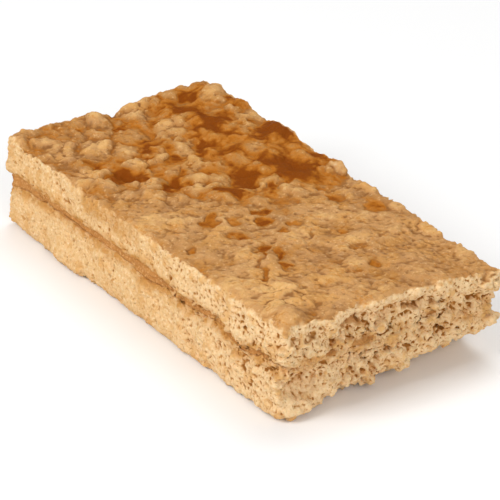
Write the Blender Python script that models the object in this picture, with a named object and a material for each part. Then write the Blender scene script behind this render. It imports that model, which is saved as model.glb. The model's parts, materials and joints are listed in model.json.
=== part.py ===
"""A slice of soft granola bar cut from a tray: a base layer, a thin band of paste and a
top layer with a lumpy baked skin. The long side lies along X and +Z is up."""

import math
import random

import bmesh
import bpy
from mathutils import Vector, noise

MM = 0.001

# Sizes in millimetres
LENGTH = 102.0
WIDTH = 49.4
UNDERSIDE = -1.8
SKIN_HEIGHT = 18.6
PASTE_HEIGHT = 9.8
PASTE_THICKNESS = 1.5
LAYER_GAP = 0.3
FAR_END_REACH = 1.2

# The flat of the underside, and how steeply the rest of it lifts
FLAT_MIN_X = -47.0
FLAT_MAX_X = 27.0
FLAT_HALF_Y = 21.0
EDGE_LIFT = 0.1
END_LIFT = 0.015
FLATTENED_BELOW = 0.03
GRID_STEP = 1.25
LOWER_EDGE_ROUNDING = 1.1
UPPER_EDGE_ROUNDING = 0.9

# Share of the triangles that each layer keeps
KEPT_BASE = 0.2
KEPT_PASTE = 0.08
KEPT_TOP = 0.31

# Lumps on the skin: x, y, reach along x, reach along y, height
SKIN_LUMPS = (
    (-47.0, 22.0, 5.0, 4.0, 1.2),
    (-36.0, 23.5, 4.5, 3.0, 1.3),
    (-21.0, 24.5, 7.0, 3.5, 1.2),
    (-48.5, -5.0, 3.5, 3.2, 1.0),
    (-43.0, 2.5, 3.0, 2.6, 0.8),
    (-40.0, 8.5, 4.0, 2.5, 0.8),
    (-37.0, -9.0, 3.5, 2.0, 0.6),
    (-26.5, -12.0, 2.6, 2.4, 0.7),
    (-20.0, 1.0, 3.0, 2.2, 0.7),
    (24.0, -10.0, 3.2, 2.6, 0.7),
    (37.0, -15.0, 5.0, 3.0, 0.8),
    (47.5, -21.0, 4.5, 4.0, 1.9),
    (-1.5, 24.5, 3.0, 3.0, 1.8),
)

# Hollows where the glaze pooled: x, y, reach along x, reach along y, depth
SKIN_HOLLOWS = (
    (-22.0, -13.5, 3.6, 3.0, 1.1),
    (-14.0, -7.0, 3.6, 2.6, 1.0),
    (-7.0, 17.0, 5.5, 4.5, 0.9),
    (-7.0, 5.0, 5.5, 4.0, 0.8),
    (-26.0, 22.0, 4.5, 4.5, 0.8),
    (-37.0, 16.5, 4.5, 3.5, 1.0),
    (-46.0, 14.5, 3.2, 3.2, 0.8),
    (-36.0, 1.0, 4.5, 2.4, 0.9),
    (12.0, -3.0, 4.0, 3.0, 0.6),
    (14.0, -21.5, 2.0, 1.6, 0.6),
    (-51.5, 0.5, 4.0, 3.0, 1.6),
    (-30.5, 25.0, 3.0, 4.0, 1.0),
    (-10.0, 25.0, 4.0, 3.0, 0.8),
)

# The largest crumbs on the torn end: y, z, radius
TOP_CRUMBS = ((9.0, 13.4, 1.7), (17.5, 12.9, 1.5), (21.5, 15.6, 1.6))
BASE_CRUMBS = ((-19.0, 0.9, 1.9), (-3.5, 1.4, 2.0), (9.0, 6.6, 1.9))
SMALL_CRUMBS = 13
SMALL_CRUMB_RADIUS = (0.9, 1.5)


def soft_step(low, high, value):
    """Rises smoothly from 0 at low to 1 at high."""
    share = min(1.0, max(0.0, (value - low) / (high - low)))
    return share * share * (3.0 - 2.0 * share)


def bump(dx, dy):
    """A rounded bump that is 1 at its middle and 0 from a distance of 1."""
    return max(0.0, 1.0 - dx * dx - dy * dy) ** 1.5


def grain(x, y, z, size, seed):
    """Smooth noise of the given grain size, from about -1 to 1."""
    return noise.noise(Vector((x / size + seed, y / size - seed, z / size + 2.0 * seed)))


def chunks(x, y, size, seed):
    """Rounded chunks of about the given size, with creases between them."""
    distances, _ = noise.voronoi(Vector((x / size + seed, y / size, seed)))
    return min(1.0, 1.6 * (distances[1] - distances[0]))


def back_half(x, y):
    """1 over the coarse half of the skin, 0 over the smoother half."""
    return soft_step(14.0, -8.0, x - 0.55 * y)


def skin_height(x, y):
    """The lumpy top of the bar."""
    height = SKIN_HEIGHT + 0.3 * soft_step(20.0, 50.0, x)
    height += 1.7 * soft_step(4.0, 16.0, y) * soft_step(4.0, -8.0, x)
    height += 0.9 * soft_step(-42.0, -50.0, x) * soft_step(10.0, -10.0, y)
    height -= 1.2 * soft_step(22.0, 36.0, x) * soft_step(10.0, 22.0, y)
    height += (0.35 + 0.55 * back_half(x, y)) * (chunks(x, y, 6.5, 3.0) - 0.5)
    height += 0.35 * grain(x, y, 0.0, 4.0, 11.0)
    for mid_x, mid_y, reach_x, reach_y, rise in SKIN_LUMPS:
        height += rise * bump((x - mid_x) / reach_x, (y - mid_y) / reach_y)
    for mid_x, mid_y, reach_x, reach_y, depth in SKIN_HOLLOWS:
        height -= depth * bump((x - mid_x) / reach_x, (y - mid_y) / reach_y)
    return height


def paste_middle(x, y):
    """The wavy middle of the paste, lowest under the far corner and beside the torn end."""
    height = PASTE_HEIGHT + 0.8 * grain(x, y, 0.0, 13.0, 5.0)
    height += 0.9 * bump((x - 27.0) / 7.0, (y + 25.0) / 16.0)
    height -= 1.3 * bump((x - 36.0) / 7.0, (y + 25.0) / 16.0)
    height -= 1.5 * bump((x + 53.0) / 8.0, (y + 25.0) / 20.0)
    return height


def paste_thickness(x, y):
    """Thickest at the far end and in one smooth patch of the long side."""
    thickness = PASTE_THICKNESS + 0.3 * grain(x, y, 0.0, 9.0, 8.0)
    thickness += 1.3 * bump((x + 51.0) / 9.0, (y + 25.0) / 14.0)
    thickness += 1.3 * bump((x - 2.5) / 7.0, (y + 25.0) / 12.0)
    return thickness


def crevice_height(y):
    """The arched crevice under the crust of the torn end."""
    arch = 12.0 + 4.2 * soft_step(-16.0, -9.0, y)
    return arch - 3.4 * soft_step(-2.0, 21.0, y)


def broken_away(y):
    """How far the base has crumbled back along its lower edge at the torn end."""
    return 1.5 + 5.5 * soft_step(-23.0, -8.0, y) + 6.5 * soft_step(-8.0, 25.0, y)


def torn_end(y, z):
    """Where the torn end stands, as a shift along X."""
    shift = 1.1 * grain(0.0, y, z, 5.5, 21.0) + 1.0 * grain(0.0, y, z, 2.6, 23.0)
    groove = (z - crevice_height(y)) / 1.2
    shift -= 1.9 * math.exp(-groove * groove) * soft_step(-17.0, -12.0, y) * soft_step(24.0, 18.0, y)
    shift -= 0.9 * soft_step(crevice_height(y), crevice_height(y) - 1.5, z)
    shift -= 1.6 * bump((y + 20.0) / 5.5, (z - 6.0) / 4.0)
    shift -= 1.2 * bump((y - 22.6) / 3.0, (z - 12.0) / 2.5)
    return shift


def broken_edge(y, z):
    """The slanted break below the torn end, as a shift along X."""
    reach = broken_away(y)
    top = UNDERSIDE + 0.62 * reach + 0.8
    return -reach * soft_step(top, UNDERSIDE - 0.35 * reach, z) * 1.25


def cut_side(along, z, seed):
    """The fine unevenness of a cut face, as a shift outwards."""
    return 0.45 * grain(along, 0.0, z, 6.0, seed) + 0.35 * grain(along, 0.0, z, 2.8, seed + 3.0)


def edge_rounding(z, top):
    """Draws the faces in towards the lower edge and the skin."""
    lower = max(0.0, 1.0 - (z - UNDERSIDE) / LOWER_EDGE_ROUNDING)
    upper = max(0.0, 1.0 - (top - z) / UPPER_EDGE_ROUNDING)
    return -0.6 * lower * lower - 0.45 * upper * upper


def shaped(x, y, z, inset):
    """The place of a point of the plain slab once the faces are uneven, broken and torn."""
    half_x, half_y = LENGTH / 2.0, WIDTH / 2.0
    rounding = edge_rounding(z, skin_height(x, y)) - inset
    near = soft_step(half_y - 4.0, half_y, -y)
    back = soft_step(half_y - 4.0, half_y, y)
    left = soft_step(half_x - 4.0, half_x, -x)
    right = soft_step(half_x - 4.0, half_x, x)
    bulge = 1.3 * bump((x + 28.0) / 8.0, (z - 0.5) / 4.0)
    new_y = y - near * (cut_side(x, z, 31.0) + bulge + rounding)
    new_y += back * (cut_side(x, z, 37.0) + rounding)
    new_x = x - left * (cut_side(y, z, 41.0) + rounding + FAR_END_REACH)
    new_x += right * (torn_end(y, z) + rounding)
    new_x += soft_step(half_x - 24.0, half_x, x) * broken_edge(y, z)
    return Vector((new_x, new_y, z - UNDERSIDE)) * MM


def grid_block(length, width, rows):
    """A slab of unit height with a fine grid on its wide faces and rows on its sides."""
    bm = bmesh.new()
    bmesh.ops.create_cube(bm, size=1.0)
    for vert in bm.verts:
        vert.co = Vector((vert.co.x * length, vert.co.y * width, vert.co.z + 0.5))
    for axis, extent, count in (
        (Vector((1, 0, 0)), length, round(length / GRID_STEP)),
        (Vector((0, 1, 0)), width, round(width / GRID_STEP)),
    ):
        for i in range(1, count):
            bmesh.ops.bisect_plane(
                bm,
                geom=bm.verts[:] + bm.edges[:] + bm.faces[:],
                plane_co=axis * extent * (i / count - 0.5),
                plane_no=axis,
            )
    for i in range(1, rows):
        bmesh.ops.bisect_plane(
            bm,
            geom=bm.verts[:] + bm.edges[:] + bm.faces[:],
            plane_co=(0, 0, i / rows),
            plane_no=(0, 0, 1),
        )
    return bm


def add_material(obj, colour, roughness):
    material = bpy.data.materials.new(obj.name)
    material.use_nodes = True
    shader = material.node_tree.nodes["Principled BSDF"]
    shader.inputs["Base Color"].default_value = (*colour, 1.0)
    shader.inputs["Roughness"].default_value = roughness
    shader.inputs["Metallic"].default_value = 0.0
    obj.data.materials.append(material)


def add_object(name, bm, home):
    bmesh.ops.recalc_face_normals(bm, faces=bm.faces)
    mesh = bpy.data.meshes.new(name)
    bm.to_mesh(mesh)
    bm.free()
    for face in mesh.polygons:
        face.use_smooth = True
    obj = bpy.data.objects.new(name, mesh)
    home.objects.link(obj)
    return obj


def apply_modifiers(obj):
    graph = bpy.context.evaluated_depsgraph_get()
    finished = bpy.data.meshes.new_from_object(obj.evaluated_get(graph))
    obj.modifiers.clear()
    obj.data = finished


def add_layer(name, low, high, rows, inset, kept, home):
    """One layer of the bar between two height functions."""
    bm = grid_block(LENGTH, WIDTH, rows)
    for vert in bm.verts:
        x, y, share = vert.co
        bottom, top = low(x, y), high(x, y)
        vert.co = shaped(x, y, bottom + (top - bottom) * share, inset)
    obj = add_object(name, bm, home)
    thinned = obj.modifiers.new("Thinned", "DECIMATE")
    thinned.ratio = kept
    return obj


def small_crumbs(low, high, seed):
    """Places and sizes of the small crumbs between two heights of the torn end."""
    chance = random.Random(seed)
    places = []
    for index in range(SMALL_CRUMBS):
        y = (chance.uniform(0.1, 0.9) + index) / SMALL_CRUMBS * (WIDTH - 6.0) - (WIDTH - 6.0) / 2.0
        radius = chance.uniform(*SMALL_CRUMB_RADIUS)
        bottom = low(LENGTH / 2.0, y) + 1.6 * radius
        top = high(LENGTH / 2.0, y) - 1.6 * radius
        places.append((y, chance.uniform(bottom, top), radius))
    return tuple(places)


def add_crumbs(layer, crumbs, seed, helpers):
    """Crumbs fused to the torn end of a layer."""
    chance = random.Random(seed)
    for index, (y, z, radius) in enumerate(crumbs):
        bm = bmesh.new()
        bmesh.ops.create_icosphere(bm, subdivisions=2, radius=radius)
        foot = (shaped(LENGTH / 2.0, y, z, 0.0) / MM).x
        middle = Vector((foot - 0.45 * radius, y, z - UNDERSIDE))
        stretch = Vector([chance.uniform(0.8, 1.25) for _ in range(3)])
        for vert in bm.verts:
            uneven = 1.0 + 0.3 * noise.noise(vert.co * 1.1 / radius + Vector((index, seed, 0.0)))
            vert.co = (vert.co * stretch * uneven + middle) * MM
        add_object(f"crumb_{layer.name}_{index}", bm, helpers)
    fused = layer.modifiers.new("Crumbs", "BOOLEAN")
    fused.operation = "UNION"
    fused.operand_type = "COLLECTION"
    fused.collection = helpers
    fused.solver = "MANIFOLD"
    apply_modifiers(layer)
    for obj in list(helpers.objects):
        bpy.data.objects.remove(obj)


def centre(objects):
    """Puts the middle of the bar's footprint on the origin and trues up its flat."""
    points = [vert.co for obj in objects for vert in obj.data.vertices]
    middle_x = (min(p.x for p in points) + max(p.x for p in points)) / 2.0
    middle_y = (min(p.y for p in points) + max(p.y for p in points)) / 2.0
    lowest = min(p.z for p in points)
    for obj in objects:
        for vert in obj.data.vertices:
            vert.co -= Vector((middle_x, middle_y, lowest))
            if vert.co.z < FLATTENED_BELOW * MM:
                vert.co.z = 0.0


def underside(x, y):
    """Flat where the bar rests, and lifting a little towards its edges."""
    lift = EDGE_LIFT * (max(0.0, FLAT_MIN_X - x) + max(0.0, abs(y) - FLAT_HALF_Y))
    return UNDERSIDE + lift + END_LIFT * max(0.0, x - FLAT_MAX_X)


def base_top(x, y):
    return paste_middle(x, y) - (paste_thickness(x, y) + LAYER_GAP) / 2.0


def paste_low(x, y):
    return paste_middle(x, y) - (paste_thickness(x, y) - LAYER_GAP) / 2.0


def paste_high(x, y):
    return paste_middle(x, y) + (paste_thickness(x, y) - LAYER_GAP) / 2.0


def top_low(x, y):
    return paste_middle(x, y) + (paste_thickness(x, y) + LAYER_GAP) / 2.0


def crust_low(x, y):
    return skin_height(x, y) - 2.0


def main():
    for obj in list(bpy.data.objects):
        bpy.data.objects.remove(obj)
    home = bpy.data.collections.new("granola_bar")
    helpers = bpy.data.collections.new("crumbs_to_fuse")
    bpy.context.scene.collection.children.link(home)
    bpy.context.scene.collection.children.link(helpers)

    base = add_layer("bottom_layer", underside, base_top, 7, 0.0, KEPT_BASE, home)
    paste = add_layer("filling", paste_low, paste_high, 2, 0.4, KEPT_PASTE, home)
    top = add_layer("top_layer", top_low, skin_height, 7, 0.0, KEPT_TOP, home)
    apply_modifiers(paste)
    apply_modifiers(base)
    apply_modifiers(top)
    add_crumbs(base, BASE_CRUMBS + small_crumbs(underside, base_top, 6), 4, helpers)
    add_crumbs(top, TOP_CRUMBS + small_crumbs(top_low, crust_low, 7), 9, helpers)
    bpy.data.collections.remove(helpers)
    centre((base, paste, top))

    add_material(base, (0.79, 0.53, 0.27), 0.85)
    add_material(paste, (0.42, 0.18, 0.05), 0.5)
    add_material(top, (0.60, 0.32, 0.11), 0.75)


main()
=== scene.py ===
"""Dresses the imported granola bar: crumb, baked skin, pooled glaze and paste."""

import itertools
import json
import math
import random

import bpy
import numpy as np
from bpy.props import FloatProperty, FloatVectorProperty, IntProperty, PointerProperty
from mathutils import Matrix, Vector, noise
from mathutils.bvhtree import BVHTree

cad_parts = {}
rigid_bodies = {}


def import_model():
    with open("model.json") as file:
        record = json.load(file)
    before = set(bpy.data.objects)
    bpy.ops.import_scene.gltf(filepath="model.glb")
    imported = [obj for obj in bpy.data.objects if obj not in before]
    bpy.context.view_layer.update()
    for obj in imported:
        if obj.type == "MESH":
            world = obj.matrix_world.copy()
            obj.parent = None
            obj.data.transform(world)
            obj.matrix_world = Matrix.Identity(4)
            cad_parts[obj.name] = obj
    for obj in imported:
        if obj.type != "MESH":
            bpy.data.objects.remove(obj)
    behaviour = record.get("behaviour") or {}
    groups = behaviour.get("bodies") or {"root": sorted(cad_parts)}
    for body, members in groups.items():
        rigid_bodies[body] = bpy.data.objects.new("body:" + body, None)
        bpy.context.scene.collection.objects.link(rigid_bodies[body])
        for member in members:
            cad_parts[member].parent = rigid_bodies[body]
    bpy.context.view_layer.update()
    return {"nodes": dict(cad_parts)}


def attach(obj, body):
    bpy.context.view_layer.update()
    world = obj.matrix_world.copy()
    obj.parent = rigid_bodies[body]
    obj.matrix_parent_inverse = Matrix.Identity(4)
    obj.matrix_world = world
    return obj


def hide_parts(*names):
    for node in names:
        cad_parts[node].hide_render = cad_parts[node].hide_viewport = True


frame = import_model()

bl_info = {
    "name": "Soft Granola Bar",
    "version": (1, 0, 0),
    "blender": (4, 5, 0),
    "location": "3D View > Sidebar > Granola Bar",
    "description": "Models the crumb, skin, glaze and paste of a soft granola bar",
    "category": "Add Mesh",
}

MM = 0.001

# Ovals on the skin, in millimetres: x, y, half length, half width, and a strength that
# has no unit. All lie along one slant, whose cosine and sine come first.
OVAL_SLANT = (0.552, 0.834)
GLAZE_POOLS = (
    (-22.0, -13.0, 4.0, 3.0, 1.5),
    (-13.0, -8.5, 2.0, 2.0, 1.1),
    (-13.5, -5.5, 3.0, 2.5, 0.7),
    (-33.5, 0.0, 2.5, 3.5, 0.8),
    (-29.5, -2.5, 2.0, 2.0, 0.8),
    (-24.5, 0.0, 1.5, 2.0, 0.75),
    (-24.0, 6.5, 1.0, 6.0, 0.75),
    (-33.0, 14.5, 3.5, 5.0, 0.95),
    (-37.0, 14.5, 1.5, 2.0, 1.1),
    (-46.5, 17.5, 3.0, 2.5, 0.75),
    (-42.0, 12.5, 4.0, 2.0, 0.9),
    (-37.5, 24.5, 3.0, 3.5, 0.75),
    (-23.0, 22.0, 4.5, 3.5, 1.0),
    (-18.0, 24.5, 3.0, 3.0, 0.8),
    (-4.5, 16.5, 4.5, 5.5, 1.15),
    (-10.0, 14.0, 3.0, 3.0, 0.85),
    (-7.5, 6.5, 3.0, 5.0, 0.9),
    (-3.5, 0.0, 4.0, 2.2, 1.3),
    (0.0, 8.0, 1.0, 3.5, 0.75),
    (5.0, -10.5, 2.0, 4.0, 1.3),
    (8.5, -7.0, 2.0, 2.5, 1.05),
    (7.5, 0.0, 2.0, 2.0, 1.3),
    (11.0, -1.5, 2.0, 2.0, 1.3),
    (14.0, -9.0, 2.5, 1.5, 1.15),
    (14.0, -21.0, 1.5, 1.5, 0.95),
    (-43.0, -2.0, 1.5, 2.0, 0.75),
    (-44.0, -6.5, 1.5, 1.5, 0.75),
    (-30.0, -16.0, 2.0, 2.0, 0.85),
    (-8.0, 24.0, 2.0, 2.0, 0.75),
    (18.0, 20.0, 2.5, 2.5, 0.8),
    (9.5, 16.5, 2.0, 1.5, 0.75),
    (15.5, 3.0, 2.0, 1.5, 0.8),
    (17.0, -1.0, 1.5, 1.5, 0.8),
    (22.0, 2.5, 1.0, 1.5, 0.8),
    (21.0, -8.0, 1.5, 2.0, 1.05),
    (22.5, -9.5, 0.7, 5.0, 1.15),
    (25.0, -7.5, 1.0, 3.5, 1.05),
    (30.0, -9.0, 1.2, 2.0, 1.1),
    (26.0, -12.5, 1.0, 2.5, 1.0),
    (31.0, -14.5, 0.7, 4.5, 1.1),
    (32.5, -16.0, 1.2, 2.0, 1.2),
    (38.0, 5.0, 1.5, 2.0, 0.8),
    (39.0, 0.0, 2.0, 1.0, 0.75),
    (45.5, 4.5, 1.0, 1.0, 0.7),
    (40.5, 22.5, 1.0, 1.0, 0.75),
    (31.0, 7.5, 2.5, 1.5, 0.7),
    (23.0, 8.5, 1.5, 1.5, 0.7),
)
SKIN_LUMPS = (
    (-45.5, 23.0, 2.0, 4.0, 0.8),
    (-30.5, 20.5, 1.5, 2.5, 0.9),
    (-49.5, 6.0, 2.5, 4.5, 0.7),
    (-36.5, 7.0, 3.5, 4.0, 0.9),
    (-29.5, 4.5, 2.5, 3.0, 0.8),
    (-37.5, -9.5, 1.3, 2.5, 0.7),
    (-19.0, 1.0, 2.5, 4.5, 0.9),
    (-19.0, -4.5, 1.5, 3.0, 0.8),
    (-24.5, -3.0, 1.3, 2.5, 0.8),
    (-10.0, 1.5, 2.5, 4.0, 0.9),
    (-11.0, -2.5, 1.3, 3.5, 0.7),
    (3.0, 3.5, 2.0, 2.5, 0.6),
    (4.5, -15.5, 2.5, 4.0, 0.7),
    (-1.0, -21.5, 4.0, 5.0, 0.7),
    (2.5, 12.5, 3.0, 3.0, 1.0),
    (-25.5, -20.0, 2.5, 4.5, 0.7),
    (-38.5, -18.5, 3.0, 4.5, 0.6),
    (-50.5, -4.5, 2.5, 2.5, 0.6),
    (-25.5, -7.5, 4.0, 1.5, 0.7),
    (26.0, -10.6, 2.0, 2.0, 0.6),
    (35.8, 2.6, 2.2, 2.6, 0.6),
    (36.4, -19.0, 2.0, 2.2, 0.5),
    (44.5, -16.0, 2.6, 2.6, 0.5),
    (38.0, -16.0, 2.0, 2.0, 1.1),
    (43.0, -20.5, 2.0, 3.0, 1.0),
    (48.5, -13.5, 2.0, 2.5, 1.0),
    (30.5, -22.0, 2.0, 3.5, 0.9),
    (21.0, -12.5, 2.0, 3.0, 0.8),
    (46.5, 2.0, 2.5, 2.0, 0.8),
    (0.5, 24.5, 1.4, 1.8, 1.5),
    (10.0, 25.0, 2.0, 2.5, 1.1),
    (20.0, 24.5, 2.0, 2.5, 1.2),
    (31.0, 25.0, 2.5, 2.5, 1.2),
    (42.0, 24.5, 2.0, 2.5, 1.1),
)

# Smears of paste that show on the crumb, in millimetres: place along the face, height,
# half length, half height. Those of the long side run along X, those of the end along Y.
SIDE_SMEARS = ((2.7, 12.6, 4.8, 1.25), (-33.0, 11.8, 4.0, 0.7))
END_SMEARS = ((-6.0, 12.4, 2.8, 0.8), (-13.2, 11.9, 1.7, 0.6), (9.4, 14.2, 1.3, 0.7))

# The crevice under the top crust of the torn end: places across and heights, in
# millimetres
CREVICE_ACROSS = (-16.0, -11.6, -7.6, -3.6, 3.4, 8.4, 15.4, 20.4)
CREVICE_HEIGHT = (13.0, 17.2, 18.0, 17.3, 17.4, 16.3, 16.0, 14.8)

# Crumbs that cling to each layer: how many, the two corners of the field that they are
# aimed from, the way they are aimed, and their least and greatest radius. Lengths are in
# millimetres.
TOWARDS_END, TOWARDS_START = (1.0, 0.0, 0.0), (-1.0, 0.0, 0.0)
TOWARDS_BACK, TOWARDS_FRONT = (0.0, 1.0, 0.0), (0.0, -1.0, 0.0)
BASE_CRUMBS = (
    (800, (70, -25, 0.4), (70, 25, 9.0), TOWARDS_START, 0.3, 0.6),
    (700, (70, -25, 7.5), (70, 25, 12.0), TOWARDS_START, 0.35, 1.0),
    (330, (70, -25, 0.3), (70, 25, 2.2), TOWARDS_START, 0.4, 1.2),
    (420, (70, 3, 3.5), (70, 25, 12), TOWARDS_START, 0.45, 1.4),
    (160, (70, -25, 8.5), (70, -12, 12), TOWARDS_START, 0.5, 1.2),
    (2000, (-52, -60, 0.4), (52, -60, 11), TOWARDS_BACK, 0.25, 0.5),
    (500, (34, -60, 0.4), (52, -60, 11), TOWARDS_BACK, 0.3, 0.7),
    (2000, (-52, 60, 0.4), (52, 60, 11), TOWARDS_FRONT, 0.25, 0.5),
    (1000, (-80, -25, 0.4), (-80, 25, 11), TOWARDS_END, 0.25, 0.5),
)
TOP_CRUMBS = (
    (1100, (70, -25, 11.5), (70, 25, 16.4), TOWARDS_START, 0.35, 1.0),
    (200, (70, -25, 11.5), (70, 25, 16.8), TOWARDS_START, 0.7, 1.5),
    (150, (70, 0, 13.5), (70, 22, 17.0), TOWARDS_START, 0.6, 1.3),
    (500, (70, -25, 16.5), (70, 25, 20.5), TOWARDS_START, 0.3, 0.6),
    (2000, (-52, -60, 11.5), (52, -60, 20), TOWARDS_BACK, 0.25, 0.5),
    (600, (34, -60, 11.5), (52, -60, 20), TOWARDS_BACK, 0.3, 0.8),
    (2000, (-52, 60, 11.5), (52, 60, 20), TOWARDS_FRONT, 0.25, 0.5),
    (1000, (-80, -25, 11.5), (-80, 25, 20), TOWARDS_END, 0.25, 0.5),
    (16, (-80, -25.4, 12.6), (-80, -23.6, 14.2), TOWARDS_END, 0.5, 1.2),
)

# Where the crumbling part of the long side starts, in millimetres along X. From there to
# the torn end crumbs hide the paste, and its groove is uneven.
CRUMBLING_FROM = 8.0

# Colours that the crumb is mottled with, and the painted shade of its pores
PALE_FLECKS = (0.92, 0.70, 0.42)
TAN_CLOUDS = (0.72, 0.37, 0.11)
BROWN_GRAINS = (0.62, 0.29, 0.08)
DARK_SPECKS = (0.54, 0.23, 0.05)
DEEPEST_PORE_SHADE = (0.30, 0.11, 0.02)
TOASTED_GRAINS = (0.80, 0.45, 0.15)

# Colours that the skin is mottled with, and the painted shade of its hollows and dips
TOASTED_SKIN = (0.66, 0.33, 0.095)
AMBER_VEINS = (0.52, 0.20, 0.03)
THIN_FILM = (0.42, 0.18, 0.04)
POOL_RIM = (0.50, 0.19, 0.03)
FLOURY_GRAINS = (0.88, 0.60, 0.30)
DARK_GRAINS = (0.34, 0.15, 0.05)
SKIN_HOLLOW_SHADE = (0.27, 0.12, 0.04)
SKIN_DIP_SHADE = (0.27, 0.115, 0.035)

# Colours that the paste and the floor are mottled with
DARK_PASTE = (0.40, 0.17, 0.045)
PASTE_CRUMBS = (0.70, 0.40, 0.16)
FLOOR_GREY = (0.93, 0.93, 0.93)
FLOOR_WHITE = (0.95, 0.95, 0.945)


class BarSizes(bpy.types.PropertyGroup):
    """Sizes of the bar's surface detail."""

    fineness: FloatProperty(
        name="Fineness",
        description="Side of the small cells that each layer's surface is made of",
        default=0.26 * MM,
        unit="LENGTH",
        precision=5,
    )
    first_cells: FloatProperty(
        name="First cells",
        description="Side of the cells in which the torn end is hollowed out",
        default=0.5 * MM,
        unit="LENGTH",
        precision=5,
    )
    crumb_relief: FloatProperty(
        name="Crumb relief",
        description="How far the grains of a cut side stand out",
        default=0.3 * MM,
        unit="LENGTH",
        precision=5,
    )
    skin_relief: FloatProperty(
        name="Skin relief",
        description="Height of the lumps of the baked skin",
        default=1.0 * MM,
        unit="LENGTH",
        precision=5,
    )
    most_faces: IntProperty(
        name="Most triangles",
        description="The most triangles that one layer keeps",
        default=195000,
    )


class BarColours(bpy.types.PropertyGroup):
    """Colours of the bar."""

    crumb: FloatVectorProperty(
        name="Crumb", description="Pale crumb", subtype="COLOR", default=(0.83, 0.54, 0.26)
    )
    crumb_torn: FloatVectorProperty(
        name="Torn crumb",
        description="The inner crumb that the torn end shows",
        subtype="COLOR",
        default=(0.88, 0.61, 0.33),
    )
    # Painted shade: the colour that the pores and crevices of the crumb are darkened to
    crumb_hollow_shade: FloatVectorProperty(
        name="Crumb hollows",
        description="Crumb inside pores and crevices",
        subtype="COLOR",
        default=(0.50, 0.21, 0.045),
    )
    # Partly painted shade: by the paste this colour also darkens the seam band as shade would
    crumb_stain_and_seam_shade: FloatVectorProperty(
        name="Stained crumb",
        description="Crumb that has soaked up paste, or that the heat has browned",
        subtype="COLOR",
        default=(0.60, 0.29, 0.08),
    )
    skin: FloatVectorProperty(
        name="Skin", description="Baked skin", subtype="COLOR", default=(0.57, 0.30, 0.115)
    )
    # Partly painted light: the skin is paler and creamier the higher it stands, and duller
    # and greyer in the low ground between the lumps
    skin_lumps_and_highlight: FloatVectorProperty(
        name="Skin lumps",
        description="Paler skin on the lumps",
        subtype="COLOR",
        default=(0.74, 0.43, 0.16),
    )
    lump_tops_and_highlight: FloatVectorProperty(
        name="Lump tops",
        description="Cream tops of the highest lumps",
        subtype="COLOR",
        default=(0.82, 0.52, 0.24),
    )
    skin_dull_and_shade: FloatVectorProperty(
        name="Dull skin",
        description="Greyer skin between the lumps",
        subtype="COLOR",
        default=(0.42, 0.225, 0.10),
    )
    glaze: FloatVectorProperty(
        name="Glaze edge",
        description="Thin caramel at the edges of a pool",
        subtype="COLOR",
        default=(0.46, 0.155, 0.014),
    )
    glaze_deep: FloatVectorProperty(
        name="Glaze",
        description="Deep caramel in the middle of a pool",
        subtype="COLOR",
        default=(0.21, 0.046, 0.0015),
    )
    paste: FloatVectorProperty(
        name="Paste",
        description="Smooth brown paste between the layers",
        subtype="COLOR",
        default=(0.49, 0.22, 0.062),
    )


class Value:
    """A node's output, on which shader arithmetic is written as plain Python."""

    def __init__(self, recipe, output):
        self.recipe = recipe
        self.output = output

    def __add__(self, other):
        return self.recipe.maths("ADD", self, other)

    def __sub__(self, other):
        return self.recipe.maths("SUBTRACT", self, other)

    def __rsub__(self, other):
        return self.recipe.maths("SUBTRACT", other, self)

    def __mul__(self, other):
        return self.recipe.maths("MULTIPLY", self, other)

    __radd__ = __add__


class Recipe:
    """A material under construction."""

    def __init__(self, name):
        self.material = bpy.data.materials.new(name)
        self.material.use_nodes = True
        self.tree = self.material.node_tree
        self.shader = self.tree.nodes["Principled BSDF"]
        self.place = self.node("ShaderNodeTexCoord", output="Object")

    def feed(self, socket, value):
        if isinstance(value, Value):
            self.tree.links.new(value.output, socket)
        elif socket.type == "RGBA" and len(value) == 3:
            socket.default_value = (*value, 1.0)
        else:
            socket.default_value = value

    def node(self, kind, settings=None, inputs=None, output=0):
        """Adds a node: first its settings, then the values or links of its sockets."""
        made = self.tree.nodes.new(kind)
        for name, value in (settings or {}).items():
            setattr(made, name, value)
        for name, value in (inputs or {}).items():
            self.feed(made.inputs[name], value)
        return Value(self, made.outputs[output])

    def maths(self, operation, a, b):
        return self.node("ShaderNodeMath", {"operation": operation}, {0: a, 1: b})

    def step(self, value, low, high):
        """Rises smoothly from 0 at low to 1 at high."""
        settings = {"interpolation_type": "SMOOTHSTEP"}
        inputs = {"Value": value, "From Min": low, "From Max": high}
        return self.node("ShaderNodeMapRange", settings, inputs)

    def mix(self, a, b, share):
        """Colour a, turning into colour b as share goes from 0 to 1."""
        settings = {"data_type": "RGBA"}
        inputs = {"Factor": share, 6: a, 7: b}
        return self.node("ShaderNodeMix", settings, inputs, output=2)

    def noise(self, size, detail=2.0, roughness=0.5):
        """Cloudy noise whose lumps measure about size, from 0 to 1."""
        inputs = {
            "Vector": self.place,
            "Scale": 1.0 / size,
            "Detail": detail,
            "Roughness": roughness,
        }
        return self.node("ShaderNodeTexNoise", inputs=inputs)

    def grains(self, size):
        """Distance within grains that measure about size."""
        inputs = {"Vector": self.place, "Scale": 1.0 / size}
        return self.node("ShaderNodeTexVoronoi", inputs=inputs, output="Distance")

    def attribute(self, name):
        return self.node("ShaderNodeAttribute", {"attribute_name": name}, output="Fac")

    def bump(self, height, distance):
        inputs = {"Height": height, "Distance": distance, "Strength": 1.0}
        return self.node("ShaderNodeBump", inputs=inputs)

    def finish(self, **inputs):
        for name, value in inputs.items():
            self.feed(self.shader.inputs[name.replace("_", " ")], value)
        return self.material


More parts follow.
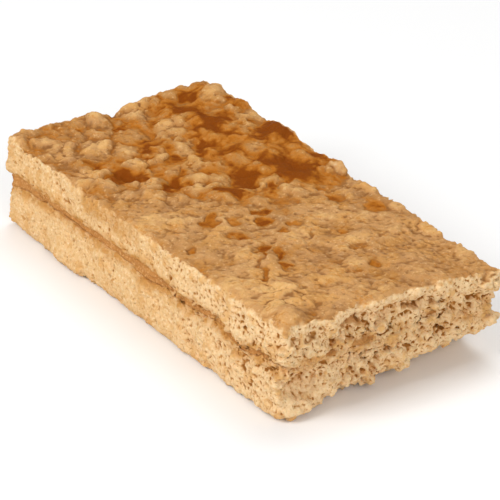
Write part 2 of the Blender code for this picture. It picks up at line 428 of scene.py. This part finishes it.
def crumb_colour(recipe, colours):
    """Pale crumb, browner near the paste and the base, and darker in its pores and crevices.
    The darkening in pores and crevices is painted shade, and the brown by the paste is partly
    stain and partly painted shade.
    """
    torn = recipe.attribute("torn")
    hollow = recipe.attribute("hollow") * (1.0 + torn * 0.7)
    cloudy = recipe.noise(2.6 * MM, 4.0, 0.6)
    fine = recipe.noise(0.7 * MM, 3.0, 0.7)
    specks = recipe.noise(1.5 * MM, 3.0, 0.6)
    pale = recipe.mix(colours.crumb, colours.crumb_torn, torn)
    pale = recipe.mix(pale, PALE_FLECKS, recipe.step(fine, 0.5, 0.66) * 0.8)
    pale = recipe.mix(pale, TAN_CLOUDS, recipe.step(cloudy, 0.5, 0.64) * 0.6)
    pale = recipe.mix(pale, BROWN_GRAINS, recipe.step(fine, 0.44, 0.32) * 0.65)
    pale = recipe.mix(pale, DARK_SPECKS, recipe.step(specks, 0.38, 0.29) * 0.75)
    # Partly painted shade: the brown band by the paste is soaked-up paste and also painted
    # shade of the seam groove
    stain_and_seam_shade = recipe.attribute("stain_and_seam_shade") * (0.4 + recipe.step(cloudy, 0.4, 0.6) * 0.6)
    pale = recipe.mix(pale, colours.crumb_stain_and_seam_shade, stain_and_seam_shade)
    # Painted shade: the deeper a vertex lies, the darker its crumb, more so at the torn end
    pale = recipe.mix(pale, colours.crumb_hollow_shade, recipe.step(hollow, 0.14, 0.7) * 0.9)
    pale = recipe.mix(pale, DEEPEST_PORE_SHADE, recipe.step(hollow, 0.5, 0.95) * 0.85)
    toasted = recipe.step(hollow, -0.15, -0.7) * recipe.step(cloudy, 0.45, 0.6)
    pale = recipe.mix(pale, TOASTED_GRAINS, toasted * 0.5)
    return recipe.mix(pale, colours.paste, recipe.attribute("smear"))


def crumb_bump(recipe):
    """Height of the finest grit of the crumb."""
    return recipe.noise(0.45 * MM, 3.0, 0.7) + (1.0 - recipe.grains(0.6 * MM)) * 0.5


def crumb_material(colours):
    recipe = Recipe("crumb")
    return recipe.finish(
        Base_Color=crumb_colour(recipe, colours),
        Roughness=0.9,
        Specular_IOR_Level=0.05,
        Subsurface_Weight=0.1,
        Subsurface_Radius=(1.0, 0.5, 0.25),
        Subsurface_Scale=0.4 * MM,
        Normal=recipe.bump(crumb_bump(recipe), 0.4 * MM),
    )


def skin_colour(recipe, colours, glaze):
    """Tan skin, paler on the lumps and duller between them, partly its own tone and partly
    painted highlight and shade, darker in creases and dips with painted shade, and amber
    where glaze lies.
    """
    broad = recipe.noise(6.0 * MM, 3.0, 0.6)
    middle = recipe.noise(2.2 * MM, 4.0, 0.65)
    fine = recipe.noise(0.8 * MM, 4.0, 0.7)
    # Partly painted light: higher skin is painted paler like lit lump tops, and lower skin
    # duller like shade
    uneven = recipe.attribute("height") + (middle - 0.5) * 0.6 + (broad - 0.5) * 0.4
    skin = recipe.mix(colours.skin_dull_and_shade, colours.skin, recipe.step(uneven, 0.28, 0.5))
    skin = recipe.mix(skin, colours.skin_lumps_and_highlight, recipe.step(uneven, 0.52, 0.8) * 0.8)
    skin = recipe.mix(skin, colours.lump_tops_and_highlight, recipe.step(uneven, 0.78, 1.05) * 0.85)
    toasted = recipe.step(recipe.noise(4.5 * MM, 3.0, 0.6), 0.5, 0.62)
    skin = recipe.mix(skin, TOASTED_SKIN, toasted * 0.6)
    film = recipe.step(glaze + (middle - 0.5) * 0.3, 0.08, 0.44)
    veins = recipe.noise(3.2 * MM, 2.0, 0.5)
    veins = recipe.step(veins, 0.455, 0.485) * recipe.step(veins, 0.545, 0.515)
    veins = veins * recipe.step(broad, 0.5, 0.56) * recipe.step(fine, 0.42, 0.54)
    skin = recipe.mix(skin, AMBER_VEINS, veins * 0.75)
    skin = recipe.mix(skin, THIN_FILM, film * 0.65)
    wet = glaze + (fine - 0.5) * 0.3 + (middle - 0.5) * 0.5
    skin = recipe.mix(skin, POOL_RIM, recipe.step(wet, 0.34, 0.52) * 0.6)
    skin = recipe.mix(skin, FLOURY_GRAINS, recipe.step(fine, 0.54, 0.68) * 0.4)
    skin = recipe.mix(skin, DARK_GRAINS, recipe.step(fine, 0.45, 0.3) * 0.5)
    # Painted shade in the creases and the broad dips between the lumps
    hollow = recipe.step(recipe.attribute("hollow"), 0.08, 0.6)
    skin = recipe.mix(skin, SKIN_HOLLOW_SHADE, hollow * 0.7)
    dip = recipe.step(recipe.attribute("dip"), 0.05, 0.6)
    skin = recipe.mix(skin, SKIN_DIP_SHADE, dip * 0.7)
    deep = recipe.step(wet + (broad - 0.5) * 0.3, 0.5, 0.86)
    caramel = recipe.mix(colours.glaze, colours.glaze_deep, deep)
    return recipe.mix(skin, caramel, recipe.step(wet, 0.4, 0.68) * 0.95)


def top_material(colours):
    """Crumb on the cut sides, and skin with pooled glaze above."""
    recipe = Recipe("top_crumb_and_skin")
    skin_share = recipe.attribute("skin")
    glaze = recipe.attribute("glaze")
    skin = skin_colour(recipe, colours, glaze)
    wrinkles = recipe.noise(1.1 * MM, 5.0, 0.7) * (1.0 - recipe.step(glaze, 0.45, 0.6) * 0.7)
    relief = crumb_bump(recipe) * (1.0 - skin_share * 0.8) + wrinkles * skin_share
    return recipe.finish(
        Base_Color=recipe.mix(crumb_colour(recipe, colours), skin, skin_share),
        Roughness=0.88 - skin_share * (0.18 + recipe.step(glaze, 0.45, 0.6) * 0.2),
        Specular_IOR_Level=0.02,
        Subsurface_Weight=0.08,
        Subsurface_Radius=(1.0, 0.5, 0.25),
        Subsurface_Scale=0.4 * MM,
        Normal=recipe.bump(relief, 0.4 * MM),
    )


def paste_material(colours):
    recipe = Recipe("paste")
    patches = recipe.step(recipe.noise(2.5 * MM, 3.0), 0.35, 0.65)
    grit = recipe.noise(0.6 * MM, 3.0, 0.7)
    colour = recipe.mix(colours.paste, DARK_PASTE, patches * 0.6)
    colour = recipe.mix(colour, PASTE_CRUMBS, recipe.step(grit, 0.5, 0.65) * 0.7)
    return recipe.finish(
        Base_Color=colour,
        Roughness=0.7,
        Specular_IOR_Level=0.04,
        Normal=recipe.bump(recipe.noise(1.2 * MM, 2.0), 0.15 * MM),
    )


def floor_material():
    recipe = Recipe("pale_floor")
    tone = recipe.mix(FLOOR_GREY, FLOOR_WHITE, recipe.noise(0.3, 2.0))
    return recipe.finish(Base_Color=tone, Roughness=0.7)


def soft_step(low, high, value):
    """Rises smoothly from 0 at low to 1 at high."""
    share = np.clip((value - low) / (high - low), 0.0, 1.0)
    return share * share * (3.0 - 2.0 * share)


def clouds(points, size, seed):
    """Smooth noise from about -1 to 1 at each point, in millimetres."""
    return np.array([noise.noise(p) for p in (points / size + seed).tolist()])


def warped(points, size, reach, seed):
    """The points, pushed about so that what is drawn over them gets ragged."""
    pushes = [clouds(points, size, seed + axis * 7.3) for axis in range(3)]
    return points + reach * np.stack(pushes, axis=1)


def hashed(cells, seed):
    """A repeatable random number from 0 to 1 for each whole-numbered cell."""
    mixed = cells @ np.array((73856093, 19349663, 83492791)) + seed * 40503
    mixed = (mixed ^ (mixed >> 13)) * 1274126177
    return ((mixed ^ (mixed >> 16)) & 0xFFFFFF) / 0xFFFFFF


def lumps_of(points, size, seed):
    """Distances to the nearest and the next lump middle, as shares of the size, and a
    number from 0 to 1 that is the nearest lump's own."""
    scaled = points / size
    home = np.floor(scaled).astype(np.int64)
    first = np.full(len(points), 9.0)
    second = first.copy()
    own = np.zeros(len(points))
    for step in itertools.product((-1, 0, 1), repeat=3):
        cell = home + step
        middle = cell + np.stack([hashed(cell, seed + axis) for axis in range(3)], axis=1)
        distance = np.linalg.norm(middle - scaled, axis=1)
        second = np.minimum(second, np.maximum(first, distance))
        own = np.where(distance < first, hashed(cell, seed + 3), own)
        first = np.minimum(first, distance)
    return first, second, own


def pillows(points, size, seed):
    """Broad lumps: 0 in the creases between them and 1 on top."""
    first, second, own = lumps_of(points, size, seed)
    return np.clip(1.5 * (second - first), 0.0, 1.0) ** 0.8 * (0.55 + 0.45 * own)


def beads(points, size, seed):
    """Round grains of different heights: 0 between them and up to 1 on top."""
    first, _, own = lumps_of(points, size, seed)
    return np.sqrt(np.clip(1.0 - (first / 0.9) ** 2, 0.0, 1.0)) * (0.5 + 0.5 * own)


def bubbles(points, size, seed):
    """Depth from 0 to 1 of the bubbles of different widths that a cut lays open."""
    first, _, own = lumps_of(points, size, seed)
    return soft_step(1.0, 0.45, first / (0.05 + 0.34 * own**2))


def select_only(obj):
    bpy.ops.object.select_all(action="DESELECT")
    obj.select_set(True)
    bpy.context.view_layer.objects.active = obj


def frame_copy(node_name, piece_name):
    """A copy of a frame node as a piece of its own, with its corners merged."""
    obj = bpy.data.objects.new(piece_name, frame["nodes"][node_name].data.copy())
    bpy.context.scene.collection.objects.link(obj)
    obj.data.materials.clear()
    select_only(obj)
    bpy.ops.object.mode_set(mode="EDIT")
    bpy.ops.mesh.select_all(action="SELECT")
    bpy.ops.mesh.remove_doubles(threshold=0.001 * MM)
    bpy.ops.object.mode_set(mode="OBJECT")
    return obj


def finish_modifier(obj, kind, **settings):
    """Adds one modifier and applies it."""
    modifier = obj.modifiers.new(kind, kind)
    for name, value in settings.items():
        setattr(modifier, name, value)
    select_only(obj)
    bpy.ops.object.modifier_apply(modifier=modifier.name)


def points_of(obj):
    """The vertices and their normals, the vertices in millimetres."""
    count = len(obj.data.vertices)
    points = np.empty(count * 3)
    normals = np.empty(count * 3, np.float32)
    obj.data.vertices.foreach_get("co", points)
    obj.data.vertex_normals.foreach_get("vector", normals)
    return points.reshape(-1, 3) / MM, normals.reshape(-1, 3).astype(float)


def move_points(obj, points):
    obj.data.vertices.foreach_set("co", (points * MM).ravel())
    obj.data.update()


def paint(obj, name, values):
    """Keeps one number for each vertex, for the material to read."""
    layer = obj.data.attributes.new(name, "FLOAT", "POINT")
    layer.data.foreach_set("value", values.astype(np.float32))


def smoothed(obj, values, rounds):
    """Values spread over neighbouring vertices."""
    ends = np.empty(len(obj.data.edges) * 2, np.int64)
    obj.data.edges.foreach_get("vertices", ends)
    first, second = ends[0::2], ends[1::2]
    count = len(obj.data.vertices)
    near = np.bincount(first, minlength=count) + np.bincount(second, minlength=count)
    spread = values.astype(float)
    for _ in range(rounds):
        total = np.bincount(first, spread[second], count)
        total += np.bincount(second, spread[first], count)
        spread = 0.5 * spread + 0.5 * total / np.maximum(near, 1)
    return spread


def hollowness(obj, rounds, reach):
    """How deep each vertex lies below its surroundings, as a share of reach."""
    points, normals = points_of(obj)
    means = np.stack([smoothed(obj, points[:, i], rounds) for i in range(3)], axis=1)
    return np.clip(((means - points) * normals).sum(axis=1) / reach, -1.0, 1.0)


def ellipses(along, up, rows):
    """1 inside any of the smears in the rows, and 0 outside."""
    inside = np.zeros(len(along))
    for middle, height, half_length, half_height in rows:
        far = np.hypot((along - middle) / half_length, (up - height) / half_height)
        inside = np.maximum(inside, soft_step(1.15, 0.75, far))
    return inside


def ovals(points, rows, spread, full):
    """The strongest of the ovals at each place: its strength inside and 0 outside."""
    cosine, sine = OVAL_SLANT
    strongest = np.zeros(len(points))
    for x, y, half_length, half_width, strength in rows:
        across, along = points[:, 0] - x, points[:, 1] - y
        u = (across * cosine + along * sine) / (half_length * spread)
        v = (along * cosine - across * sine) / (half_width * spread)
        strongest = np.maximum(strongest, strength * soft_step(1.0, full, np.hypot(u, v)))
    return strongest


def folds(points, size, seed):
    """Rounded lumps with creases between them, like rough dough, from about -0.3 to 0.6."""
    return 1.5 * np.abs(clouds(points, size, seed)) - 0.3


def skin_field(points):
    """Height of the skin, and how far the glaze stands above the ground, in millimetres."""
    flat = points * (1.0, 1.0, 0.25)
    ragged = warped(warped(flat, 3.5, 1.3, 21.0), 1.3, 0.45, 22.0)
    shaken = ragged + 0.9 * clouds(flat, 1.5, 55.0)[:, None]
    far = soft_step(14.0, -12.0, points[:, 0] - 0.5 * points[:, 1])
    ground = 1.35 * (pillows(ragged, 5.8, 23) - 0.5) * (0.08 + 0.92 * far)
    ground += 0.25 * (pillows(ragged, 2.3, 29) - 0.45) * (0.1 + 0.9 * far)
    ground += 0.28 * folds(ragged, 6.0, 39.0) + 0.6 * clouds(flat, 8.0, 43.0) * (1.0 - far)
    ground += (0.25 + 0.05 * far) * folds(ragged, 2.9, 41.0)
    ground += 0.17 * folds(flat, 1.5, 31.0)
    ground += 0.15 * clouds(flat, 0.8, 33.0) + 0.16 * (beads(flat, 1.0, 67) - 0.45)
    ground += 0.75 * ovals(ragged, SKIN_LUMPS, 1.25, 0.5) * (0.6 + 0.4 * far)
    ground = np.where(ground > 0.2, 0.2 + 0.45 * np.tanh((ground - 0.2) / 0.6), ground)
    ground += flake_field(ragged)
    pooled = ovals(shaken, GLAZE_POOLS, 1.25, 0.35)
    ground -= 0.45 * pooled
    middle = np.hypot((flat[:, 0] + 19.0) / 30.0, (flat[:, 1] - 9.0) / 21.0)
    corner = np.hypot((flat[:, 0] + 46.0) / 9.0, (flat[:, 1] - 15.0) / 11.0)
    sticky = np.maximum(soft_step(1.15, 0.55, middle), 0.85 * soft_step(1.1, 0.6, corner))
    level = -0.6 + 0.42 * sticky + 0.45 * pooled
    level += 0.2 * clouds(flat, 4.0, 37.0) + 0.15 * clouds(flat, 1.2, 38.0)
    depth = level - ground
    return ground + 0.5 * np.maximum(depth, 0.0), depth


def flake_field(ragged):
    """A plate of skin near the corner, broken up by cracks and partly lifted."""
    plate = np.hypot((ragged[:, 0] - 40.0) / 8.0, (ragged[:, 1] + 17.0) / 6.0)
    lifted = soft_step(1.0, 0.55, plate)
    own = lumps_of(ragged, 4.5, 64)[2]
    crack = soft_step(0.07, 0.01, np.abs(clouds(ragged, 5.0, 65.0)))
    return (0.05 + 0.25 * own) * lifted - 0.25 * crack * lifted


def cut_field(points, loose, torn):
    """Relief of a cut side: rough grains with small bubbles between them. Where it is
    loose the grains stand out more and the bubbles are fewer, and where it is torn it
    falls apart into round crumbs."""
    ragged = warped(points, 0.9, 0.5, 43.0)
    grain = 0.6 * (beads(ragged, 1.2, 45) - 0.45) + 0.5 * (beads(ragged, 0.7, 47) - 0.45)
    grain += 2.4 * clouds(points, 3.8, 3.0) + 0.8 * clouds(points, 0.8, 7.0)
    holes = np.maximum(bubbles(ragged, 1.5, 49), 0.8 * bubbles(ragged, 0.8, 53))
    holes *= 0.3 + 0.9 * soft_step(-0.15, 0.3, clouds(points, 4.5, 51.0))
    holes *= (1.0 - 0.75 * loose) * (1.0 - 0.85 * torn)
    grain += 0.9 * folds(ragged, 2.4, 52.0)
    crumbs = 2.8 * (0.3 + 0.7 * loose) * (beads(ragged, 1.7, 58) - 0.5)
    crumbs += 2.3 * (beads(ragged, 0.95, 59) - 0.5)
    return grain * (1.0 + 0.6 * loose) + crumbs * torn - 1.3 * holes


def torn_depth(points):
    """How far the torn end is eaten away: crevice, cavities, hollow, crack and gaps."""
    ragged = warped(points, 1.8, 0.9, 15.0)
    across, up = ragged[:, 1], ragged[:, 2]
    arch = np.interp(across, CREVICE_ACROSS, CREVICE_HEIGHT)
    in_arch = soft_step(-17.0, -13.0, across) * soft_step(22.0, 18.0, across)
    crevice = soft_step(0.9, 0.2, np.abs(up - arch)) * in_arch
    below = soft_step(0.3, -0.8, up - arch) * in_arch
    pillars = soft_step(-0.05, 0.15, clouds(points * (1.0, 1.0, 0.5), 1.3, 25.0))
    gaps = 0.25 + 1.6 * clouds(points, 2.6, 27.0) + 3.0 * clouds(points, 1.2, 29.0)
    gaps = np.maximum(gaps, 0.0) * soft_step(17.0, 15.5, up) * soft_step(7.5, 10.0, up)
    cavities = pillars * below * soft_step(-13.0, -9.0, across) * soft_step(4.0, 0.0, across)
    hollow = soft_step(1.15, 0.5, np.hypot((across + 19.0) / 5.4, (up - 7.4) / 3.4))
    crack = soft_step(0.4, 0.05, np.abs(across + 8.3)) * soft_step(5.0, 8.0, up)
    crack *= soft_step(11.5, 10.0, up)
    eaten = 0.5 * crevice + 0.35 * below + 1.4 * cavities + 1.4 * hollow + 0.9 * crack
    return eaten + gaps


def carve_end(obj):
    """Eats the hollows into the torn end, before crumbs are laid on it."""
    points, normals = points_of(obj)
    facing = soft_step(0.15, 0.6, normals[:, 0]) * soft_step(35.0, 42.0, points[:, 0])
    carved = facing > 0.01
    points[carved, 0] -= facing[carved] * torn_depth(points[carved])
    move_points(obj, points)


def paste_distance(points):
    """Distance from each point to the filling, in millimetres."""
    mesh = frame["nodes"]["filling"].data
    corners = [corner.co for corner in mesh.vertices]
    tree = BVHTree.FromPolygons(corners, [face.vertices[:] for face in mesh.polygons])
    return np.array([tree.find_nearest(Vector(p))[3] for p in (points * MM).tolist()]) / MM


def clinging_crumbs(surface, chance, group):
    """Middles and radii of crumbs aimed at the layer, which stay where they land."""
    count, low, high, aim, smallest, largest = group
    for _ in range(count):
        start = Vector([chance.uniform(*pair) for pair in zip(low, high)])
        radius = smallest + (largest - smallest) * chance.random() ** 2
        hit = surface.ray_cast(start * MM, Vector(aim))[0]
        if hit is not None:
            yield hit / MM + Vector(aim) * radius * chance.uniform(-0.1, 0.6), radius


def seam_crumbs(chance, count, upward):
    """Middles and radii of crumbs that hang over the paste and hide most of it."""
    mesh = frame["nodes"]["filling"].data
    walls = [face for face in mesh.polygons if abs(face.normal.z) < 0.5]
    shares = [face.area * (1.0 + 4.0 * (face.normal.x > 0.5)) for face in walls]
    for face in chance.choices(walls, shares, k=count):
        on_end = face.normal.x > 0.5
        corners = [mesh.vertices[index].co.z for index in face.vertices]
        radius = 0.3 + (0.3 + 0.5 * on_end) * chance.random() ** 2
        shift = Vector((chance.uniform(-1.0, 1.0), chance.uniform(-1.0, 1.0), 0.0))
        shift -= face.normal * shift.dot(face.normal)
        deepest = 0.3 + 1.2 * on_end
        middle = face.center / MM + shift + face.normal * chance.uniform(-deepest, 0.2)
        hang = chance.uniform(-0.45 - 0.5 * on_end, 0.5)
        middle.z = max(corners) / MM + hang if upward else min(corners) / MM - hang
        place = np.array([middle.x]), np.array([face.center.z / MM])
        smooth = face.normal.y < -0.5 and (
            middle.x < CRUMBLING_FROM or ellipses(*place, SIDE_SMEARS)[0] > 0.3
        )
        if not smooth:
            yield middle, radius


def add_crumbs(obj, seed, groups, on_seam, upward):
    """Joins rough crumbs to the layer, which the next remesh fuses with it."""
    chance = random.Random(seed)
    surface = BVHTree.FromObject(obj, bpy.context.evaluated_depsgraph_get())
    placed = [crumb for group in groups for crumb in clinging_crumbs(surface, chance, group)]
    placed += seam_crumbs(chance, on_seam, upward)

    bpy.ops.object.select_all(action="DESELECT")
    bpy.ops.mesh.primitive_ico_sphere_add(subdivisions=1, radius=1.0)
    crumbs = bpy.context.object
    corners = np.array([corner.co for corner in crumbs.data.vertices])
    faces = np.array([face.vertices[:] for face in crumbs.data.polygons])
    middles = np.array([middle for middle, _ in placed])[:, None, :]
    radii = np.array([radius for _, radius in placed])[:, None, None]
    rough = np.random.default_rng(seed)
    stretch = rough.uniform(0.7, 1.35, (len(placed), 1, 3))
    dents = rough.uniform(0.65, 1.25, (len(placed), len(corners), 1))
    points = (middles + corners * stretch * dents * radii) * MM
    faces = faces + len(corners) * np.arange(len(placed))[:, None, None]
    crumbs.data.clear_geometry()
    crumbs.data.from_pydata(points.reshape(-1, 3).tolist(), [], faces.reshape(-1, 3).tolist())
    select_only(obj)
    crumbs.select_set(True)
    bpy.ops.object.join()


def drop_loose(obj, spot):
    """Deletes crumbs that touch nothing: all that isn't joined to what lies at the spot."""
    points, _ = points_of(obj)
    select_only(obj)
    bpy.ops.object.mode_set(mode="EDIT")
    bpy.ops.mesh.select_all(action="DESELECT")
    bpy.ops.object.mode_set(mode="OBJECT")
    nearest = int(np.argmin(np.linalg.norm(points - spot, axis=1)))
    obj.data.vertices[nearest].select = True
    bpy.ops.object.mode_set(mode="EDIT")
    bpy.ops.mesh.select_linked()
    bpy.ops.mesh.select_all(action="INVERT")
    bpy.ops.mesh.delete(type="VERT")
    bpy.ops.object.mode_set(mode="OBJECT")


def relief(obj, sizes, is_top):
    """Shapes the skin, the cut sides and the torn end, and paints what they show."""
    points, normals = points_of(obj)
    end_x = points[:, 0].max()
    upward = normals[:, 2]
    skin = np.zeros(len(points))
    if is_top:
        facing_up = upward + 0.35 * clouds(points, 1.6, 61.0)
        skin = soft_step(0.35, 0.7, facing_up) * soft_step(15.0, 17.0, points[:, 2])
    side = np.clip(1.0 - np.abs(upward) * 1.1, 0.0, 1.0)
    torn = soft_step(end_x - 14.0, end_x - 7.0, points[:, 0]) * (1.0 - skin)
    torn *= soft_step(0.0, 0.5, smoothed(obj, normals[:, 0], 8))

    smear = soft_step(-0.4, -0.8, normals[:, 1]) * ellipses(
        points[:, 0], points[:, 2], SIDE_SMEARS
    )
    on_end = torn * ellipses(points[:, 1], points[:, 2], END_SMEARS)
    smear = np.maximum(smear, on_end)

    move = np.zeros(len(points))
    seen = side > 0.02
    shown = points[seen]
    loose = soft_step(6.0, 9.0, shown[:, 2]) * soft_step(18.0, 16.0, shown[:, 2])
    loose *= soft_step(28.0, 42.0, shown[:, 0])
    cut = side[seen] * (1.0 - 0.85 * smear[seen])
    cut *= 1.0 - 0.25 * torn[seen] * (1.0 - loose)
    move[seen] += cut * cut_field(shown, loose, torn[seen]) * sizes.crumb_relief / MM
    near_paste = paste_distance(points)
    uneven = np.clip(clouds(shown, 2.2, 63.0), 0.0, 0.5) * (shown[:, 0] > CRUMBLING_FROM)
    groove = 0.6 + 1.4 * uneven
    move[seen] -= cut * soft_step(1.8, 0.2, near_paste[seen]) * groove * (1.0 - torn[seen])

    glaze = np.zeros(len(points))
    height = np.full(len(points), 0.5)
    above = skin > 0.01
    if above.any():
        surface, depth = skin_field(points[above])
        move[above] += skin[above] * surface * sizes.skin_relief / MM
        glaze[above] = np.clip(0.5 + 0.45 * depth, 0.0, 1.0)
        height[above] = np.clip(0.5 + 0.5 * surface, 0.0, 1.0)
    move[(upward < -0.6) & (points[:, 2] < 1.0)] = 0.0
    # Browner by the paste, partly soaked-up paste and partly painted shade of the seam
    # groove; near the base and in one patch on the long side it is the crumb's own baked
    # brown
    stain_and_seam_shade = np.maximum(
        soft_step(2.6, 0.5, near_paste) * (1.0 - 0.5 * torn),
        0.6 * soft_step(2.2, 0.2, points[:, 2]),
    )
    browned = np.hypot((points[:, 0] + 11.0) / 15.0, (points[:, 2] - 19.0) / 4.0)
    stain_and_seam_shade = np.maximum(stain_and_seam_shade, 0.9 * soft_step(1.1, 0.4, browned) * (normals[:, 1] < -0.3))
    # The long sides too show paler inner crumb towards the torn end
    paler = np.maximum(torn, 0.8 * soft_step(0.0, 35.0, points[:, 0]) * (1.0 - skin))
    points = points + normals * move[:, None]
    points[:, 2] = np.maximum(points[:, 2], 0.0)
    move_points(obj, points)
    for name, values in (
        ("skin", skin),
        ("glaze", glaze),
        ("height", height),
        ("torn", paler),
        ("stain_and_seam_shade", stain_and_seam_shade),
        ("smear", smear * 0.9),
    ):
        paint(obj, name, values)


def dress_layer(node_name, piece_name, material, is_top, crumbs):
    sizes = bpy.context.scene.bar_sizes
    obj = frame_copy(node_name, piece_name)
    finish_modifier(obj, "REMESH", mode="VOXEL", voxel_size=sizes.first_cells)
    carve_end(obj)
    add_crumbs(obj, *crumbs)
    finish_modifier(obj, "REMESH", mode="VOXEL", voxel_size=sizes.fineness)
    on_layer = (0.0, 0.0, 20.5 if is_top else 0.0)
    drop_loose(obj, on_layer)
    finish_modifier(obj, "SMOOTH", factor=0.15, iterations=1)
    relief(obj, sizes, is_top)
    # The remesh leaves quads, which count as two triangles each
    kept = sizes.most_faces / (2.0 * len(obj.data.polygons))
    finish_modifier(obj, "DECIMATE", ratio=min(1.0, kept))
    # Depth below the surroundings, which the materials turn into painted shade in pores,
    # creases and dips
    wide = hollowness(obj, 40, 0.9)
    paint(obj, "hollow", np.maximum(hollowness(obj, 6, 0.25), wide))
    paint(obj, "dip", 2.2 * wide)
    select_only(obj)
    bpy.ops.object.shade_smooth()
    obj.data.materials.append(material)
    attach(obj, "root")
    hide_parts(node_name)
    return obj


class BaseLayer(bpy.types.Operator):
    """The crumbly lower layer"""

    bl_idname = "granola_bar.base_layer"
    bl_label = "Base layer"

    def execute(self, context):
        material = crumb_material(context.scene.bar_colours)
        crumbs = (5, BASE_CRUMBS, 1000, False)
        dress_layer("bottom_layer", "base_crumb", material, False, crumbs)
        return {"FINISHED"}


class TopLayer(bpy.types.Operator):
    """The upper layer with its baked skin"""

    bl_idname = "granola_bar.top_layer"
    bl_label = "Top layer"

    def execute(self, context):
        material = top_material(context.scene.bar_colours)
        crumbs = (6, TOP_CRUMBS, 1000, True)
        dress_layer("top_layer", "top_crumb_and_skin", material, True, crumbs)
        return {"FINISHED"}


class Paste(bpy.types.Operator):
    """The thin band of paste between the layers"""

    bl_idname = "granola_bar.paste"
    bl_label = "Paste"

    def execute(self, context):
        obj = frame_copy("filling", "paste_band")
        finish_modifier(obj, "REMESH", mode="VOXEL", voxel_size=0.3 * MM)
        finish_modifier(obj, "SMOOTH", factor=0.5, iterations=4)
        points, normals = points_of(obj)
        wall = 1.0 - np.abs(normals[:, 2])
        shown = soft_step(-0.4, -0.8, normals[:, 1])
        shown *= ellipses(points[:, 0], points[:, 2], SIDE_SMEARS)
        rough = 0.45 * clouds(points, 0.9, 5.0) + 0.3 * (beads(points, 0.9, 57) - 0.45)
        rough *= 0.3 + 0.7 * soft_step(6.0, 12.0, points[:, 0])
        move = 0.4 * clouds(points, 2.5, 3.0) + rough * (1.0 - 0.8 * shown)
        # Drawn back from the faces, less at the torn end and least where a smear shows
        move += 0.5 * shown - 0.15 - 0.4 * (normals[:, 0] < 0.5)
        # Swells up and down to close the gap that keeps the solids apart
        swell = 0.3 * np.sign(normals[:, 2]) * soft_step(0.5, 0.9, np.abs(normals[:, 2]))
        eaten = torn_depth(points) * soft_step(0.3, 0.7, normals[:, 0])
        eaten *= 1.0 - ellipses(points[:, 1], points[:, 2], END_SMEARS)
        points = points + normals * (move * wall)[:, None]
        points[:, 0] -= eaten
        points[:, 2] += swell
        move_points(obj, points)
        finish_modifier(obj, "DECIMATE", ratio=0.5)
        select_only(obj)
        bpy.ops.object.shade_smooth()
        obj.data.materials.append(paste_material(context.scene.bar_colours))
        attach(obj, "root")
        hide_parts("filling")
        return {"FINISHED"}


class Stage(bpy.types.Operator):
    """Pale floor, soft light and the photograph's viewpoint"""

    bl_idname = "granola_bar.stage"
    bl_label = "Stage"

    def execute(self, context):
        scene = context.scene
        bpy.ops.object.select_all(action="DESELECT")
        bpy.ops.mesh.primitive_plane_add(size=4.0, location=(0.0, 0.0, 0.0))
        floor = context.object
        floor.name = "floor"
        floor.data.materials.append(floor_material())

        # The photograph's viewpoint, from a camera fitted to the slab's edges
        azimuth, elevation = math.radians(56.49), math.radians(26.59)
        distance = 0.5542
        target = Vector((4.58, -0.66, 10.8)) * MM
        back = Vector(
            (
                math.sin(azimuth) * math.cos(elevation),
                -math.cos(azimuth) * math.cos(elevation),
                math.sin(elevation),
            )
        )
        camera = bpy.data.objects.new("camera", bpy.data.cameras.new("camera"))
        scene.collection.objects.link(camera)
        camera.location = target + back * distance
        camera.rotation_euler = back.to_track_quat("Z", "Y").to_euler()
        camera.data.lens = 200.0
        camera.data.sensor_width = 36.0
        camera.data.clip_start = 0.01
        scene.camera = camera

        # Square area lights: name, place and side in metres, and power in watts
        for name, place, size, power in (
            ("key", (-0.05, -0.75, 0.65), 0.45, 5.9),
            ("overhead", (-0.25, 0.35, 0.9), 0.6, 3.3),
            ("side", (0.8, -0.15, 0.45), 0.5, 3.15),
        ):
            light = bpy.data.lights.new(name, "AREA")
            light.size = size
            light.energy = power
            lamp = bpy.data.objects.new(name, light)
            lamp.location = place
            lamp.rotation_euler = Vector(place).to_track_quat("Z", "Y").to_euler()
            scene.collection.objects.link(lamp)

        world = bpy.data.worlds.new("room")
        world.use_nodes = True
        sky = world.node_tree.nodes["Background"].inputs
        sky["Color"].default_value = (1.0, 1.0, 1.0, 1.0)
        sky["Strength"].default_value = 0.36
        scene.world = world
        scene.view_settings.view_transform = "Standard"
        return {"FINISHED"}


class BarPanel(bpy.types.Panel):
    """Lists the pieces of the bar"""

    bl_idname = "VIEW3D_PT_granola_bar"
    bl_label = "Granola Bar"
    bl_space_type = "VIEW_3D"
    bl_region_type = "UI"
    bl_category = "Granola Bar"

    def draw(self, context):
        for operator in OPERATORS:
            self.layout.operator(operator.bl_idname)
        for group in (context.scene.bar_sizes, context.scene.bar_colours):
            for name in group.__annotations__:
                self.layout.prop(group, name)


OPERATORS = (BaseLayer, Paste, TopLayer, Stage)
CLASSES = (BarSizes, BarColours, *OPERATORS, BarPanel)


def register():
    for each in CLASSES:
        bpy.utils.register_class(each)
    bpy.types.Scene.bar_sizes = PointerProperty(type=BarSizes)
    bpy.types.Scene.bar_colours = PointerProperty(type=BarColours)


def unregister():
    del bpy.types.Scene.bar_colours
    del bpy.types.Scene.bar_sizes
    for each in reversed(CLASSES):
        bpy.utils.unregister_class(each)


def main():
    register()
    bpy.ops.granola_bar.base_layer()
    bpy.ops.granola_bar.paste()
    bpy.ops.granola_bar.top_layer()
    bpy.ops.granola_bar.stage()


if __name__ == "__main__":
    main()
